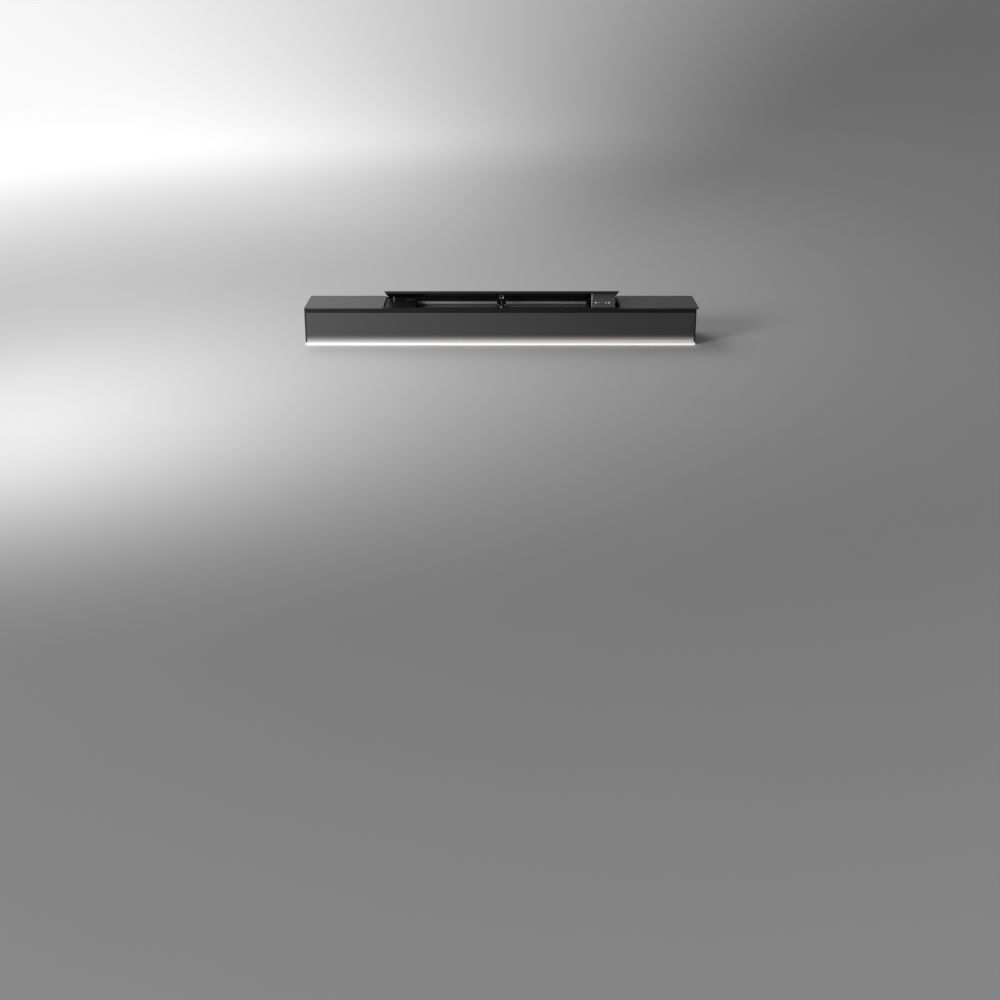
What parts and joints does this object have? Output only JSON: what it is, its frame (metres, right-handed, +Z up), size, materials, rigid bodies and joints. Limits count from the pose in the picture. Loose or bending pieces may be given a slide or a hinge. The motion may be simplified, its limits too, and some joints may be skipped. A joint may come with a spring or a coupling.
{
  "type": "downdraft vent",
  "caption": "Long low worktop extractor with a hinged glass lid over grease filters, side blowers, duct collars in the base, a touch control pod and a light strip along its foot.",
  "frame": {"origin": "centre of the footprint, on the worktop", "axes": "+X to the right along the length as seen from the front, -Y towards the cook, +Z up"},
  "size_m": [1.5, 0.174, 0.2052],
  "materials": {
    "black_steel": "satin black powder coat",
    "end_panel": "satin black paint",
    "grey_glass": "satin dark grey glass plate, coated on the back",
    "front_glass": "satin dark grey glass, coated on the back",
    "light_diffuser": "opal diffuser",
    "aluminium": "brushed aluminium",
    "black_aluminium": "black anodised",
    "filter": "dark grey anodised mesh",
    "galvanised": "galvanised sheet",
    "steel": "bright steel",
    "black_plastic": "fine texture",
    "gloss_black": "gloss touch panel",
    "board": "circuit board",
    "rubber": "matt"
  },
  "bodies": {
    "cabinet": {"base_plate": "galvanised", "rear_panel": "black_steel", "front_carrier": "galvanised", "front_glass": "front_glass", "front_rim": "black_aluminium", "end_panel_left": "end_panel", "end_panel_right": "end_panel", "top_plate_left": "grey_glass", "top_plate_right": "grey_glass", "bay_divider_left": "galvanised", "bay_divider_right": "galvanised", "light_profile": "aluminium", "light_diffuser": "light_diffuser", "led_board": "board", "filter_deck": "black_steel", "grease_filter_left": "filter", "grease_filter_right": "filter", "filter_handles": "steel", "filter_trims": "aluminium", "centre_bridge": "black_steel", "drip_tray": "steel", "module_cover_left": "black_plastic", "module_cover_right": "black_plastic", "pod_tray": "black_plastic", "hinge_fixed_leaves": "black_steel", "hinge_pins": "steel", "lift_motor_left": "steel", "lift_motor_right": "steel", "lift_brackets": "galvanised", "damper_bracket": "black_steel", "blower_housing_left": "black_plastic", "blower_housing_right": "black_plastic", "inlet_plate_left": "galvanised", "inlet_plate_right": "galvanised", "blower_motor_left": "steel", "blower_motor_right": "steel", "blower_screws": "steel", "discharge_box_left": "black_plastic", "discharge_box_right": "black_plastic", "power_supply": "galvanised", "control_board": "board", "terminal_block": "black_plastic", "cable_grommet": "rubber"},
    "lid": {"lid_glass": "grey_glass", "lid_frame": "black_aluminium", "hinge_moving_leaves": "black_steel", "pod_housing": "black_plastic", "pod_glass": "gloss_black", "pod_board": "board", "damper_lug": "steel"},
    "lift_arm_left": {"lift_arm_left": "steel"},
    "lift_arm_right": {"lift_arm_right": "steel"},
    "damper_cylinder": {"damper_cylinder": "black_steel"},
    "damper_rod": {"damper_rod": "steel"},
    "impeller_left": {"impeller_left": "black_plastic"},
    "impeller_right": {"impeller_right": "black_plastic"},
    "backdraft_flap_left": {"backdraft_flap_left": "black_plastic"},
    "backdraft_flap_right": {"backdraft_flap_right": "black_plastic"}
  },
  "joints": [
    {"name": "lid_hinge", "type": "hinge", "parent": "cabinet", "child": "lid", "pos_m": [0, 0.082, 0.1375], "axis": [-1, 0, 0], "range_deg": [-22.5, 0]},
    {"name": "lift_arm_left_turn", "type": "hinge", "parent": "cabinet", "child": "lift_arm_left", "pos_m": [-0.42, 0.06, 0.122], "axis": [-1, 0, 0], "range_deg": [-39.64, 0]},
    {"name": "lift_arm_right_turn", "type": "hinge", "parent": "cabinet", "child": "lift_arm_right", "pos_m": [0.42, 0.06, 0.122], "axis": [-1, 0, 0], "range_deg": [-39.64, 0]},
    {"name": "damper_swing", "type": "hinge", "parent": "cabinet", "child": "damper_cylinder", "pos_m": [0, 0.03, 0.058], "axis": [-1, 0, 0], "range_deg": [-5.14, 0]},
    {"name": "damper_stroke", "type": "slide", "parent": "damper_cylinder", "child": "damper_rod", "axis": [0, -0.1571, 0.9876], "range_m": [-0.02646, 0]},
    {"name": "impeller_left_spin", "type": "hinge", "parent": "cabinet", "child": "impeller_left", "pos_m": [-0.534, 0.002, 0.04], "axis": [0, 0, 1], "continuous": true},
    {"name": "impeller_right_spin", "type": "hinge", "parent": "cabinet", "child": "impeller_right", "pos_m": [0.534, 0.002, 0.04], "axis": [0, 0, -1], "continuous": true},
    {"name": "backdraft_flap_left_swing", "type": "hinge", "parent": "cabinet", "child": "backdraft_flap_left", "pos_m": [-0.6035, 0.043, 0.071], "axis": [0, 1, 0], "range_deg": [0, 75]},
    {"name": "backdraft_flap_right_swing", "type": "hinge", "parent": "cabinet", "child": "backdraft_flap_right", "pos_m": [0.6035, 0.043, 0.071], "axis": [0, -1, 0], "range_deg": [0, 75]}
  ],
  "couplings": [
    {"joint": "lift_arm_left_turn", "follows": "lid_hinge", "ratio": 1.7597},
    {"joint": "lift_arm_right_turn", "follows": "lid_hinge", "ratio": 1.7597},
    {"joint": "damper_swing", "follows": "lid_hinge", "ratio": 0.22628},
    {"joint": "damper_stroke", "follows": "lid_hinge", "m_per_rad": 0.067251}
  ]
}
